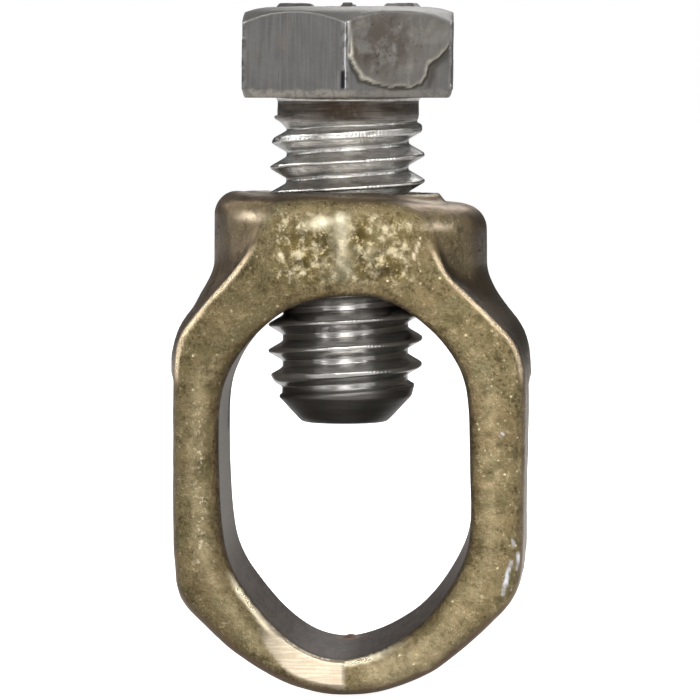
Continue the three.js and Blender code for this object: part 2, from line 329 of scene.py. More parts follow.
# ------------------------------------------------------------------ meshing
def surface_net(field, axes):
    """Vertices and quads of the zero surface of a field on a rectilinear grid."""
    inside = field < 0
    corners = list(product((0, 1), repeat=3))
    nx, ny, nz = (size - 1 for size in field.shape)
    count = np.zeros((nx, ny, nz), np.int8)
    for a, b, c in corners:
        count += inside[a:nx + a, b:ny + b, c:nz + c]
    active = (count > 0) & (count < 8)
    index = np.full(active.shape, -1, np.int64)
    cells = np.argwhere(active)
    index[active] = np.arange(len(cells))

    # Each vertex is the mean of the crossings on its cell's edges.
    total = np.zeros((len(cells), 3))
    crossings = np.zeros(len(cells))
    values = [field[tuple((cells + corner).T)] for corner in corners]
    low = np.stack([axes[k][cells[:, k]] for k in range(3)], 1)
    high = np.stack([axes[k][cells[:, k] + 1] for k in range(3)], 1)
    for m, n in combinations(range(8), 2):
        if sum(abs(p - q) for p, q in zip(corners[m], corners[n])) != 1:
            continue
        value_a, value_b = values[m], values[n]
        cross = (value_a < 0) != (value_b < 0)
        t = np.where(cross, value_a / np.where(cross, value_a - value_b, 1), 0)
        end_a = np.where(np.array(corners[m]), high, low)
        end_b = np.where(np.array(corners[n]), high, low)
        total += np.where(cross[:, None], end_a + (end_b - end_a) * t[:, None], 0)
        crossings += cross

    # Each crossed grid edge becomes a quad between the four cells round it.
    quads = []
    for axis in range(3):
        side_1, side_2 = (axis + 1) % 3, (axis + 2) % 3
        before, after = [slice(None)] * 3, [slice(None)] * 3
        before[axis] = slice(0, field.shape[axis] - 1)
        after[axis] = slice(1, field.shape[axis])
        for side in (side_1, side_2):
            before[side] = after[side] = slice(1, field.shape[side] - 1)
        starts, ends = inside[tuple(before)], inside[tuple(after)]
        edges = np.argwhere(starts != ends)
        flip = ends[tuple(edges.T)]
        ring = []
        for back_1, back_2 in ((1, 1), (0, 1), (0, 0), (1, 0)):
            cell = edges.copy()
            cell[:, side_1] += 1 - back_1
            cell[:, side_2] += 1 - back_2
            ring.append(index[tuple(cell.T)])
        quad = np.stack(ring, 1)
        quad[flip] = quad[flip][:, ::-1]
        quads.append(quad)
    return total / crossings[:, None], np.concatenate(quads)


def build_object(name, points, face_groups, attributes):
    """Makes an object from mm points; each face group holds faces of one length."""
    mesh = bpy.data.meshes.new(name)
    co = points.astype(np.float64) * MM
    co[:, 2] += ROD_Z * MM
    loops = np.concatenate([group.ravel() for group in face_groups])
    sizes = np.concatenate([np.full(len(group), group.shape[1]) for group in face_groups])
    starts = np.concatenate([[0], np.cumsum(sizes)[:-1]])
    mesh.vertices.add(len(co))
    mesh.vertices.foreach_set("co", co.astype(np.float32).ravel())
    mesh.loops.add(len(loops))
    mesh.loops.foreach_set("vertex_index", loops.astype(np.int32))
    mesh.polygons.add(len(sizes))
    mesh.polygons.foreach_set("loop_start", starts.astype(np.int32))
    mesh.polygons.foreach_set("loop_total", sizes.astype(np.int32))
    mesh.polygons.foreach_set("use_smooth", np.ones(len(sizes), bool))
    mesh.update(calc_edges=True)
    mesh.validate()
    for key, value in attributes.items():
        layer = mesh.attributes.new(key, "FLOAT", "POINT")
        layer.data.foreach_set("value", np.clip(value, 0, 1).astype(np.float32))
    ob = bpy.data.objects.new(name, mesh)
    bpy.context.scene.collection.objects.link(ob)
    return ob


# ------------------------------------------------------------------ the casting's surface
def snap_to_rim(points):
    """Moves vertices beside the opening's sharp rim onto the rim itself."""
    shell, wall = casting_parts(*points.T)
    near = (np.abs(shell) < 0.075) & (np.abs(wall) < 0.075) & (np.abs(points[:, 1]) > 6.0)
    rim = np.flatnonzero(near)
    moved = points[rim]
    for _ in range(3):
        gap_a, gap_b = casting_parts(*moved.T)
        slope_a = gradient(lambda x, y, z: casting_parts(x, y, z)[0], moved)
        slope_b = gradient(lambda x, y, z: casting_parts(x, y, z)[1], moved)
        dot_aa, dot_bb, dot_ab = ((p * q).sum(1) for p, q in (
            (slope_a, slope_a), (slope_b, slope_b), (slope_a, slope_b)))
        det = np.maximum(dot_aa * dot_bb - dot_ab * dot_ab, 0.02)
        along_a = (gap_a * dot_bb - gap_b * dot_ab) / det
        along_b = (gap_b * dot_aa - gap_a * dot_ab) / det
        moved = moved - capped(slope_a * along_a[:, None] + slope_b * along_b[:, None], 0.1)
    points[rim] = moved


def casting_surface():
    """Smooth casting, before wear: vertices and quads."""
    xs = np.arange(-10.9, 11.6, 0.155)
    zs = np.arange(-10.9, 20.9, 0.155)
    edge = np.arange(5.6, 8.9, 0.15)[1:]
    ys = np.concatenate([-edge[::-1], np.linspace(-5.6, 5.6, 33), edge])
    grid_x, grid_z = np.meshgrid(xs, zs, indexing="ij")
    outer, hole = OUTER(grid_x, grid_z), HOLE(grid_x, grid_z)
    field = np.empty((len(xs), len(ys), len(zs)), np.float32)
    for j, y in enumerate(ys):
        field[:, j, :] = casting_distance(grid_x, y, grid_z, outer, hole)
    points, quads = surface_net(field, (xs, ys, zs))
    for _ in range(3):
        slope = gradient(casting_distance, points)
        share = casting_distance(*points.T) / np.maximum((slope * slope).sum(1), 0.05)
        points = points - capped(slope * share[:, None], 0.08)
    snap_to_rim(points)
    return points, quads


def casting_masks(points):
    """Where each kind of surface lies on the smooth casting."""
    x, y, z = points.T
    slope = gradient(casting_distance, points, 0.05)
    normal = slope / np.maximum(np.linalg.norm(slope, axis=1), 1e-6)[:, None]
    facing = np.abs(normal[:, 1])
    hole = HOLE(x, z)
    tip = step(0.8, 0.5, nib_reach(x, y, z))
    wall = np.maximum(step(0.06, 0.0, np.abs(hole)) * step(0.55, 0.25, facing), tip)
    bore = step(0.45, 0.15, np.hypot(x, y) - bore_radius(x, y, z)) * step(12.0, 12.8, z)
    free = (1 - wall) * (1 - bore)
    face = step(0.55, 0.85, facing) * free
    reach = 0.45
    below = casting_distance(*(points - normal * reach).T)
    above = casting_distance(*(points + normal * reach).T)
    return SimpleNamespace(
        points=points, normal=normal, facing=facing, hole=hole, tip=tip, wall=wall, bore=bore,
        free=free, face=face, side=step(0.72, 0.3, facing) * (1 - wall),
        convex=np.clip((below + reach) / reach, 0, 1),
        hollow=np.clip((reach - above) / reach, 0, 1),
        pits=step(0.30, 0.62, noise(points, 0.62, 11)) * step(-0.25, 0.35, noise(points, 2.4, 13)),
        on_front=step(-3.5, -5.5, y) * step(0.35, 0.7, -normal[:, 1]),
        wobble=0.1 * noise(points, 0.9, 21))


# Soft spots on the boss: amount, x, z, half width, half height, x wobble, z wobble
SUNK_SPOTS = (
    (1.0, -0.95, 16.75, 0.35, 0.8, 0.5, 0), (1.0, 1.0, 17.35, 0.33, 0.65, 0.5, 0),
    (0.8, -2.3, 15.6, 0.65, 0.33, 0.6, 0), (0.8, 2.5, 15.35, 0.9, 0.4, 0.6, 0))
# Painted shade in the sunk dents
DENT_SHADE_SPOTS = (
    (1.0, -1.05, 16.75, 0.38, 0.8, 0.5, 0), (0.8, -2.3, 15.6, 0.6, 0.3, 0.6, 0.5),
    (0.9, 1.0, 17.35, 0.3, 0.6, 0.5, 0), (0.9, 2.5, 15.35, 0.85, 0.38, 0.6, 0.6))
POLISHED_SPOTS = ((1.0, -5.55, 18.45, 1.0, 0.45, 0, 0), (1.0, 5.65, 17.9, 1.0, 0.4, 0, 0))
# Painted highlights just under the boss's top rim, left and right
RIM_HIGHLIGHT_SPOTS = ((1.0, -5.55, 18.45, 0.75, 0.28, 0, 0.3), (0.9, 5.65, 17.9, 0.75, 0.24, 0, 0.3))
# Painted highlight on the boss's top rim above the rib
RIB_TOP_HIGHLIGHT = ((1.0, -1.15, 18.2, 0.95, 0.32, 0.3, 0.9),)

# Dings: x, y, z, radius, depth
DINGS = (
    (-10.1, -6.8, 3.1, 0.5, 0.12), (10.7, -6.7, 4.9, 0.45, 0.1), (-9.6, -6.8, -4.3, 0.6, 0.12),
    (7.5, -6.9, 6.3, 0.28, 0.1), (6.6, -6.9, -7.4, 0.5, 0.1), (10.7, 3.4, 7.7, 0.7, 0.12),
    (-10.2, 4.4, -0.7, 0.8, 0.1), (4.0, 6.9, 14.8, 0.6, 0.12), (-8.3, 6.9, -3.6, 0.6, 0.12))

# Bright scuffs on the right of the front: start (x, z), end (x, z), half width
SCUFFS = (
    ((10.0, -2.05), (9.5, -4.0), 0.17), ((10.42, -1.5), (10.38, -2.45), 0.1),
    ((10.08, -0.75), (10.16, -1.1), 0.09), ((9.35, 5.55), (9.8, 5.72), 0.08))

# Width of the dressed flat outside the opening, by x
FLAT_X = [-6.4, -5.3, -4.6, -3.6, -2.0, 0.1]
FLAT_WIDTH = [0.1, 0.35, 1.0, 1.38, 1.5, 1.55]


def spots(skin, table):
    x, _, z = skin.points.T
    return [amount * bell(x - at_x + sway_x * skin.wobble, half_x)
            * bell(z - at_z + sway_z * skin.wobble, half_z)
            for amount, at_x, at_z, half_x, half_z, sway_x, sway_z in table]


def boss_relief(skin):
    """Worn relief on the boss's front: lumps, a central upright rib and two grooves."""
    points, wobble = skin.points, skin.wobble
    x, _, z = points.T
    rng = np.random.RandomState(4)
    lumps = np.zeros(len(points))
    for _ in range(40):
        across = rng.uniform(0.5, 4.1) if rng.rand() < 0.5 else rng.uniform(-3.6, -0.5)
        up = rng.uniform(14.8, 18.5)
        size = rng.uniform(0.24, 0.46)
        height = rng.uniform(0.07, 0.15) * rng.choice([-1.1, 0.9])
        lumps += height * bell(x - across, size) * bell(z - up, size * rng.uniform(0.8, 1.25))
    skin.relief = (0.6 * lumps + 0.12 * noise(points, 0.95, 27) + 0.10 * noise(points, 0.52, 28)
                   + 0.03 * noise(points, 0.35, 23) - 0.12 * sum(spots(skin, SUNK_SPOTS)))
    from_rib = segment_distance(x, z, (-0.08, 18.5), (0.05, 14.7))
    skin.rib = bell(from_rib + 1.2 * wobble, 0.42 + 0.16 * step(16.5, 15.0, z))
    skin.groove = (bell(x + 0.55 + wobble, 0.17) * within(z, 15.2, 15.7, 17.4, 17.9)
                   + 0.8 * bell(x - 0.48 + wobble, 0.16) * within(z, 16.9, 17.3, 18.2, 18.6))
    skin.mark = within(z, 14.3, 15.0, 18.3, 18.9) * step(4.6, 3.6, np.abs(x)) * skin.on_front


def dressed_flat(skin):
    """A flat low on the left of the front, beside the opening, cut square at its right end."""
    points, hole = skin.points, skin.hole
    x, y, z = points.T
    width = np.interp(x, FLAT_X, FLAT_WIDTH)
    skin.low = (z < -2.2) & (x + 0.04 * noise(points, 0.5, 31) < 0.1) & (x > -6.4)
    skin.flat_y = (-FACE_Y + 0.05 + 0.24 * np.clip(1 - hole / width, 0, 1) * step(-6.4, -3.4, x)
                   - 0.25 * step(0.0, 0.35, hole - width))
    skin.facet = (skin.low * step(0.30, 0.0, hole - width + 0.10 * noise(points, 1.3, 33))
                  * step(-6.1, -6.35, y) * step(0.35, 0.7, -skin.normal[:, 1])
                  * step(-5.6, -4.2, x + 0.4 * noise(points, 0.9, 95)))


def worn_casting(skin):
    """The casting's vertices with lumps, pits, relief, the flat and dings added."""
    points, face = skin.points, skin.face
    x, y, z = points.T
    lumps = (0.05 * noise(points, 3.4, 3) + 0.03 * noise(points, 1.3, 5)
             + 0.014 * noise(points, 0.55, 7))
    calm = 1 - 0.65 * step(9.5, 12.0, z) * (1 - face)
    push = lumps * (0.45 + 0.75 * face) * skin.free * calm
    push -= 0.055 * skin.pits * face
    push *= 1 - 0.85 * np.max(spots(skin, POLISHED_SPOTS), axis=0)
    push += skin.mark * (skin.relief * (1 - 0.8 * skin.rib) + 0.15 * skin.rib
                         - 0.09 * skin.groove)
    push *= 1 - skin.facet
    for at_x, at_y, at_z, radius, depth in DINGS:
        square = (x - at_x) ** 2 + (y - at_y) ** 2 + (z - at_z) ** 2
        push -= depth * np.exp(-square / radius ** 2)
    push += skin.wall * 0.012 * noise(points, 1.6, 41)
    worn = points + skin.normal * push[:, None]
    sunk = skin.low & (worn[:, 1] < skin.flat_y) & (skin.hole > -0.2)
    worn[:, 1] = np.where(sunk, skin.flat_y, worn[:, 1])
    return worn


def casting_attributes(skin, worn):
    """Masks for the bronze material. Positions are on the smooth casting, most noise on the worn."""
    x, y, z = skin.points.T
    hole, facet, face, wobble = skin.hole, skin.facet, skin.face, skin.wobble
    mark, rib, free = skin.mark, skin.rib, skin.free
    outer = OUTER(x, z)
    beside = np.abs(hole)
    not_flat = 1 - facet
    frontmost = step(-5.0, -6.0, y)

    scuff = np.max([step(width, width * 0.45,
                         segment_distance(x, z, start, end) + 0.05 * noise(worn, 0.3, 51))
                    for start, end, width in SCUFFS], axis=0)
    scuff *= step(-5.0, -6.2, y) * (0.45 + 0.55 * step(-0.4, 0.3, noise(worn, 0.45, 53)))
    # Painted shade near the back edge of the left wall of the opening
    back_shade_high = (0.85 * step(0.9, 0.6, beside) * step(3.4, 5.0, y + 0.7 * noise(worn, 1.1, 61))
                  * step(4.8, 5.3, z + 0.25 * noise(worn, 0.8, 62)) * step(9.6, 7.4, z))
    back_shade_rim = 0.75 * step(0.35, 0.15, beside) * step(5.7, 6.2, y) * within(z, -7.2, -6, 9, 10)
    # The rib grows paler towards the top: painted highlight
    upright = rib * within(z, 14.4, 15.2, 18.5, 19.0) * (0.35 + 0.65 * step(16.2, 17.8, z))
    short_line = step(0.11, 0.04, segment_distance(x, z, (4.5, 16.9), (4.15, 16.0)))
    # Painted shade on the rounding beside the opening
    rim_shade_mask = np.maximum(step(0.32, 0.10, hole + 0.05 * noise(worn, 0.5, 99)),
                          0.42 * step(0.85, 0.25, hole))
    return {
        "wall": skin.wall,
        "tip": skin.tip,
        "side": skin.side,
        "edge": step(0.15, 0.02, beside) * step(-5.6, -6.0, y) * (1 - 0.6 * facet),
        # Painted glints in a chain down the left of the front
        "glint": bell(x + 8.5 + 0.14 * noise(worn, 0.8, 101), 0.3)
        * within(z, -3.8, -2.0, 6.2, 8.2) * (y < -5),
        "worn": skin.convex * free,
        # Darker in concave places
        "dirt": skin.hollow * not_flat * (1 - skin.low * step(0.5, 0.1, beside) * frontmost),
        "facet": facet,
        "mark": mark,
        "scuff": scuff,
        # Painted shade in the bore round the bolt
        "bore": skin.bore,
        # Painted shade near the left wall's back edge
        "stain": np.maximum(back_shade_high, back_shade_rim) * (x < 0),
        "pit": skin.pits * face,
        "high": 0.5 + mark * (skin.relief * (1 - rib) - 0.12 * skin.groove) * 2.4,
        # Painted shade in the boss's dents
        "dent": skin.on_front * np.clip(sum(spots(skin, DENT_SHADE_SPOTS)), 0, 1),
        "rib": skin.on_front * np.maximum(upright, spots(skin, RIB_TOP_HIGHLIGHT)[0]),
        # Painted highlights on the boss's rim, plus a bright scratch line
        "spot": step(0.0, -1.5, y) * (np.max(spots(skin, RIM_HIGHLIGHT_SPOTS), axis=0)
                                      + 0.8 * short_line),
        # Painted highlight in a band along the crowned face beside the opening
        "band": bell(hole - 1.3 - 0.15 * wobble, 0.5) * within(z, -9.5, -7.0, 9.0, 12.0)
        * face * not_flat,
        "rimdark": rim_shade_mask * step(-0.10, -0.02, hole) * step(0.1, 0.35, skin.facing) * not_flat,
        "fringe": step(0.5, 0.14, -outer + 0.12 * noise(worn, 0.7, 96))
        * step(-3.5, -6.5, z) * step(0.2, 0.5, skin.facing),
        # Painted highlight on the bevel low inside the opening
        "glow": step(0.05, 0.14, hole) * step(0.50, 0.30, hole + 0.07 * noise(worn, 0.8, 97))
        * step(-2.4, -4.0, z) * step(4.2, 1.0, x) * frontmost,
        # Painted highlight along the shoulder ridges
        "ridge": step(0.19, 0.04, np.abs(outer + 0.13 + 0.04 * noise(worn, 1.1, 98)))
        * step(-5.9, -6.5, y) * within(z, 8.3, 9.5, 15.6, 17.2)
        * (1 - step(3.0, 2.0, np.abs(x))),
    }


def make_casting():
    points, quads = casting_surface()
    skin = casting_masks(points)
    boss_relief(skin)
    dressed_flat(skin)
    worn = worn_casting(skin)
    return build_object("clamp_body_cast", worn, [quads], casting_attributes(skin, worn))


# ------------------------------------------------------------------ the bolt's shape
def ring_angles():
    """Angles round the bolt, closer on the front faces, with a pair beside each corner."""
    degrees = np.concatenate([
        90 + np.arange(0, 120, 1.5), 210 + np.arange(42) * 60 / 42,
        270 + np.arange(94) * 60 / 94, 330 + np.arange(0, 120, 1.5), [450]])
    for corner, gap in ((150, 0.5), (210, 0.5), (270, 0.3), (330, 0.3), (390, 0.5)):
        degrees = np.append(degrees, [corner - gap, corner + gap])
    return np.radians(np.sort(degrees))


ANGLES = ring_angles()
COS, SIN = np.cos(ANGLES), np.sin(ANGLES)
NECK_TOP = HEAD_Z - FILLET
FILLET_ROWS = 5

# Heights of the rows in one turn of thread, from its middle
TURN_ROWS = np.array([-0.72, -0.66, -0.61, -0.5, -0.36, -0.22, -0.13, -0.08, 0.0,
                      0.08, 0.13, 0.22, 0.36, 0.5, 0.61, 0.66, 0.72])
# Thread run-out below the neck: height, radius
RUNOUT_Z = [23.35, 23.62, 23.8, 24.05, 24.22, 24.4]
RUNOUT_R = [3.6, 3.72, 3.88, 4.12, 4.25, NECK_R]
# Tapered tip: height above TIP_Z, radius
TIP_RISE = [0, 1.55, 2.2, 3.2, 4.0]
TIP_RADII = [2.62, 4.06, 4.22, 4.67, 5.0]
# Tapered rim of the head: inset from the flats, height above HEAD_Z
LIP_ROWS = ((0.20, 0.02), (0.15, 0.10), (0.11, 0.2), (0.075, 0.32), (0.045, 0.42), (0.012, 0.49))
# Crown of the head: radius, height from HEAD_TOP
CROWN_RADII = [0, CROWN_R, 5.6, 6.2, 6.5, 7.3]
CROWN_DROP = [0, 0, -0.08, -0.26, -0.42, -1.02]


def hex_radius(apothem):
    """Radius of a hexagon with slightly softened corners at every angle."""
    power = 420.0
    flats = (np.arange(6) * math.pi / 3)[:, None]
    reach = np.maximum(np.cos(ANGLES[None, :] - flats), 0) ** power
    return apothem / reach.sum(0) ** (1 / power)


HEX_R = hex_radius(APOTHEM)


def crown_z(r):
    return HEAD_TOP + np.interp(r, CROWN_RADII, CROWN_DROP)


def shaft_radius(z, angle):
    offset = thread_offset(angle, z)
    r = np.minimum(CREST_R - (offset - 0.09) * FLANK_SLOPE, CREST_R)
    r = r - 0.022 * bell(offset - 0.09, 0.05)
    r = np.minimum(r, CREST_R - 0.2 * step(22.3, 23.3, z))
    soft = 0.12
    floor_r = ROOT_R + 0.13 - 0.11 * step(15.0, 17.0, z)
    h = np.clip(0.5 + 0.5 * (r - floor_r) / soft, 0, 1)
    r = floor_r * (1 - h) + r * h + soft * h * (1 - h)
    r = np.maximum(r, np.interp(z, RUNOUT_Z, RUNOUT_R))
    r = np.where(z > RUNOUT_Z[-1], NECK_R, r)
    rise = z - TIP_Z
    tip = np.interp(rise, TIP_RISE, TIP_RADII) - 0.07 * np.exp(-np.maximum(rise, 0) / 0.07)
    return np.minimum(r, tip)


def ring(r, z):
    return np.stack(np.broadcast_arrays(r * COS, r * SIN, z), -1)


def shaft_rows():
    first = int(math.floor((TIP_Z - THREAD_Z) / PITCH)) - 3
    last = int(math.ceil((NECK_TOP - THREAD_Z) / PITCH)) + 1
    heights = np.concatenate([THREAD_Z + k * PITCH + TURN_ROWS for k in range(first, last + 1)])
    z = heights[:, None] + PITCH * ANGLES[None, :] / (2 * math.pi)
    z = np.clip(z, TIP_Z, NECK_TOP)
    return ring(shaft_radius(z, ANGLES[None, :]), z)


def tip_rows(tip_r):
    """The slightly recessed end face, from the middle outwards."""
    rows = []
    for share in (0.2, 0.4, 0.6, 0.8, 0.93, 0.985):
        recess = 0.03 * (1 - share) * 5 * (share > 0.9)
        rows.append(ring(tip_r * share, TIP_Z - recess - (0.03 if share <= 0.93 else 0)))
    return rows


def head_rows():
    """Fillet, underside, rim, flats, domed chamfer and top, in that order."""
    rows = []
    for t in np.linspace(0, 1, FILLET_ROWS + 1)[1:]:
        turn = t * math.pi / 2
        rows.append(ring(NECK_R + FILLET * (1 - math.cos(turn)),
                         NECK_TOP + FILLET * math.sin(turn)))
    base_r = NECK_R + FILLET
    lip_r = hex_radius(APOTHEM - 0.24)
    for t in np.linspace(0, 1, 9)[1:]:
        rows.append(ring(base_r + (lip_r - base_r) * t, HEAD_Z))
    for inset, rise in LIP_ROWS:
        rows.append(ring(hex_radius(APOTHEM - inset), HEAD_Z + rise))
    flat_top = crown_z(HEX_R) - 0.012
    for t in np.linspace(0, 1, 40):
        rows.append(ring(HEX_R, LIP_TOP + (flat_top - LIP_TOP) * t))
    for t in np.linspace(0, 1, 11):
        r = (HEX_R - 0.012) + (CROWN_R - HEX_R + 0.012) * t
        rows.append(ring(r, crown_z(r)))
    for r in np.concatenate([np.linspace(CROWN_R, 2.2, 28)[1:], [1.9, 1.5, 1.0, 0.5]]):
        rows.append(ring(r, HEAD_TOP))
    return rows


def weld(grid):
    """Joins coincident points: points, the row each came from, quads and triangles."""
    row_count, per_row = grid.shape[:2]
    flat = grid.reshape(-1, 3)
    key = np.round(flat / 1e-5).astype(np.int64)
    _, keep, inverse = np.unique(key, axis=0, return_index=True, return_inverse=True)
    ids = inverse.ravel().reshape(row_count, per_row)
    quads = np.stack([ids[:-1, :-1].ravel(), ids[:-1, 1:].ravel(),
                      ids[1:, 1:].ravel(), ids[1:, :-1].ravel()], 1)
    merged = (quads == np.roll(quads, -1, axis=1)).sum(1)
    triangles = [[quad[i] for i in range(4) if quad[i] != quad[(i + 1) % 4]]
                 for quad in quads[merged == 1]]
    points = np.vstack([flat[keep], [[0, 0, TIP_Z - 0.03], [0, 0, HEAD_TOP]]])
    low_centre, high_centre = len(points) - 2, len(points) - 1
    for i in range(per_row - 1):
        triangles.append([low_centre, ids[0][i + 1], ids[0][i]])
        triangles.append([high_centre, ids[-1][i], ids[-1][i + 1]])
    rows = np.concatenate([keep // per_row, [0, row_count - 1]])
    return points, rows, quads[merged == 0], np.array(triangles, np.int64)


# ------------------------------------------------------------------ the bolt's wear
# Tongue of peened metal on the front right flat. Columns: distance along the flat from its left
# corner, z. The top is open.
TONGUE = (
    (0.25, 30.6), (0.22, 29.0), (0.2, 27.9), (0.62, 27.15), (1.05, 26.62), (2.0, 26.32),
    (3.1, 26.1), (4.5, 26.12), (5.25, 26.4), (5.55, 26.9), (5.62, 27.5), (6.25, 27.95),
    (6.85, 28.35), (7.25, 29.0), (7.5, 30.6))
TONGUE_ANGLE = -math.pi / 3
HALF_FLAT = 3.637


def thread_wear(part, attrs):
    """Radial change on the shank: tool marks and nicks on the crests, unevenness elsewhere."""
    points, z, is_shaft = part.points, part.z, part.is_shaft
    offset = thread_offset(part.angle, z)
    upper = step(14.5, 16.5, z)
    crest = step(0.2, 0.06, offset) * is_shaft * within(z, 8.2, 8.6, 23.4, 24.1)
    neck = is_shaft * step(23.9, 24.3, z)
    ripple = (np.sin(part.angle * 118 + 9 * noise(points, 2.0, 61))
              * (0.4 + 0.6 * step(-0.2, 0.5, noise(points, 1.6, 62))))
    push = crest * (0.014 + 0.022 * upper) * ripple
    push -= crest * 0.06 * step(0.35, 0.7, noise(points, 0.8, 63)) * (0.35 + 0.65 * upper)
    push += is_shaft * (part.r > 3.0) * (0.004 + 0.012 * upper) * noise(points, 0.45, 64)
    push += neck * 0.03 * noise(points * np.array([1, 1, 2.0]), 1.2, 65)
    attrs.update(crest=crest, neck=np.maximum(neck, part.is_head), upper=upper * ~part.is_head,
                 root=step(0.45, 0.68, offset) * is_shaft * step(24.0, 23.3, z))
    return push


def top_relief(part):
    """Height added to the head's top: six raised radial bars and roughness."""
    bars = np.zeros(len(part.points))
    for k in range(6):
        turn = math.pi / 6 + k * math.pi / 3
        along = part.x * math.cos(turn) + part.y * math.sin(turn)
        across = -part.x * math.sin(turn) + part.y * math.cos(turn)
        outside = np.maximum(np.abs(along - 3.7) - 1.0, np.abs(across) - 0.3)
        bars = np.maximum(bars, step(0.08, -0.06, outside))
    rough = 0.03 * noise(part.points, 1.5, 71) + 0.015 * noise(part.points, 0.5, 72)
    on_top = (part.z > HEAD_TOP - 0.02) & (part.r < 5.2) & part.is_head
    return on_top * (bars * 0.23 + rough)


def tongue_wear(part, attrs):
    """Outward change of the front right flat."""
    points, x, y, z = part.points, part.x, part.y, part.z
    out_x, out_y = math.cos(TONGUE_ANGLE), math.sin(TONGUE_ANGLE)
    on_flat = (part.is_head & ((x * out_x + y * out_y) > APOTHEM - 0.35)
               & (z > HEAD_Z + 0.1) & (z < HEAD_TOP - 0.1))
    along = (x * -out_y + y * out_x) + HALF_FLAT
    depth = -polygon_distance(TONGUE, along + 0.13 * noise(points, 0.9, 81, 2),
                              z + 0.13 * noise(points, 0.8, 82, 2), open_end=True)
    height = 0.17 * step(-0.06, 0.12, depth) * (0.45 + 0.55 * step(2.6, 0.3, depth))
    height *= 0.35 + 0.65 * step(30.2, 28.6, z)
    height += 0.06 * step(0.0, 0.2, depth) * (
        noise(points, 0.8, 83) * 0.6 + noise(points, 0.35, 84) * 0.4)
    gouge = step(0.0, 0.35, depth) * step(2.3, 1.2, np.hypot((along - 1.9) * 0.75, z - 28.9))
    height -= 0.10 * gouge * step(0.1, 0.6, noise(points, 0.75, 85)) + 0.03 * gouge
    height -= 0.05 * step(-0.22, -0.08, depth) * (depth < -0.02)
    fade = within(along, 0.0, 0.35, 7.0, 7.45)
    lip_width = 0.16 + 0.12 * noise(points, 1.1, 86)
    below = step(-0.26, -0.12, depth) * step(29.0, 28.4, z)
    beside = 0.8 * step(-0.75, -0.3, depth) * step(5.2, 5.9, along)
    attrs.update(
        tongue=on_flat * step(-0.02, 0.1, depth),
        lipb=on_flat * step(-0.05, 0.03, depth) * step(0.1, -0.06, depth - lip_width)
        * step(29.2, 28.4, z),
        under=on_flat * (depth < 0) * (below + beside))
    part.on_flat, part.along, part.depth = on_flat, along, depth
    outward = np.array([out_x, out_y, 0.0])
    return (on_flat * height * (0.25 + 0.75 * fade))[:, None] * outward


def make_bolt():
    shaft = shaft_rows()
    low_rows = tip_rows(np.hypot(shaft[0, 0, 0], shaft[0, 0, 1]))
    points, row, quads, triangles = weld(np.concatenate([low_rows, shaft, head_rows()], 0))
    shaft_start, shaft_end = len(low_rows), len(low_rows) + len(shaft)
    x, y, z = points.T
    r = np.hypot(x, y)
    angle = np.arctan2(y, x)
    is_shaft = (row >= shaft_start) & (row < shaft_end)
    is_head = row >= shaft_end + FILLET_ROWS
    part = SimpleNamespace(points=points, x=x, y=y, z=z, r=r, angle=angle,
                           is_shaft=is_shaft, is_head=is_head)
    attrs = {"head": is_head}
    radial = np.stack([x, y, np.zeros_like(x)], 1) / np.maximum(r, 1e-6)[:, None]

    push = radial * thread_wear(part, attrs)[:, None]
    push[:, 2] += top_relief(part)
    push += tongue_wear(part, attrs)
    # A dark notch low on the front corner
    notch = (is_head & (np.abs(x) < 0.6) & (y < -6.6)) * step(0.17, 0.08, np.abs(x + 0.13))
    notch = notch * within(z, 25.95, 26.1, 27.0, 27.3)
    push[:, 1] += notch * 0.07
    # Slight unevenness of every flat, square to it
    on_flats = is_head * (z < HEAD_TOP - 0.05) * (z > LIP_TOP)
    flat_angle = np.round(angle / HEX_STEP) * HEX_STEP
    outward = np.stack([np.cos(flat_angle), np.sin(flat_angle), np.zeros_like(x)], 1)
    uneven = (0.010 * noise(points * np.array([1, 1, 0.25]), 0.5, 91)
              + 0.012 * noise(points, 1.8, 92))
    push += (on_flats * uneven)[:, None] * outward
    # Bruised corners
    bruise = (step(7.1, 7.25, r) * is_head
              * step(0.1, 0.6, noise(points * np.array([1, 1, 0.7]), 0.9, 93)))
    push -= radial * (bruise * 0.05)[:, None]
    worn = points + push

    stain_reach = (np.hypot((part.along - 2.0) * 0.7, z - 28.8) + 0.35 * noise(worn, 1.1, 94))
    attrs.update(
        # Paler tapered rim under the flats: painted light, stronger on the left
        lip=is_head * step(LIP_TOP + 0.06, LIP_TOP - 0.12, z + 0.1 * noise(worn, 0.55, 87))
        * (0.55 + 0.45 * step(2.0, -1.0, x)) * (z > HEAD_Z - 0.01),
        cham=is_head * (r > 4.9) * (z > HEAD_TOP - 1.1)
        * step(0.02, 0.06, z - (crown_z(np.minimum(HEX_R.max(), r)) - 0.1)),
        notch=notch,
        stain=part.on_flat * step(0.05, 0.3, part.depth) * step(2.9, 0.9, stain_reach),
        # Lighter hex corners: partly bruised wear, partly painted highlight
        corner=step(7.12, 7.24, r) * is_head * (z > LIP_TOP),
        cone=(row < shaft_end) * step(TIP_Z + 2.35, TIP_Z + 1.95, z),
        # Painted shade in a band round the neck just under the head
        band=is_shaft * within(z, 24.5, 24.66, 25.1, 25.2))
    order = ("crest root head neck lip cham tongue lipb under notch stain corner upper cone "
             "band").split()
    # The bolt leans slightly to the right.
    worn[:, 0] += 0.0115 * (worn[:, 2] - 15.5)
    return build_object("clamp_bolt_forged", worn, [quads, triangles],
                        {name: attrs[name] for name in order})


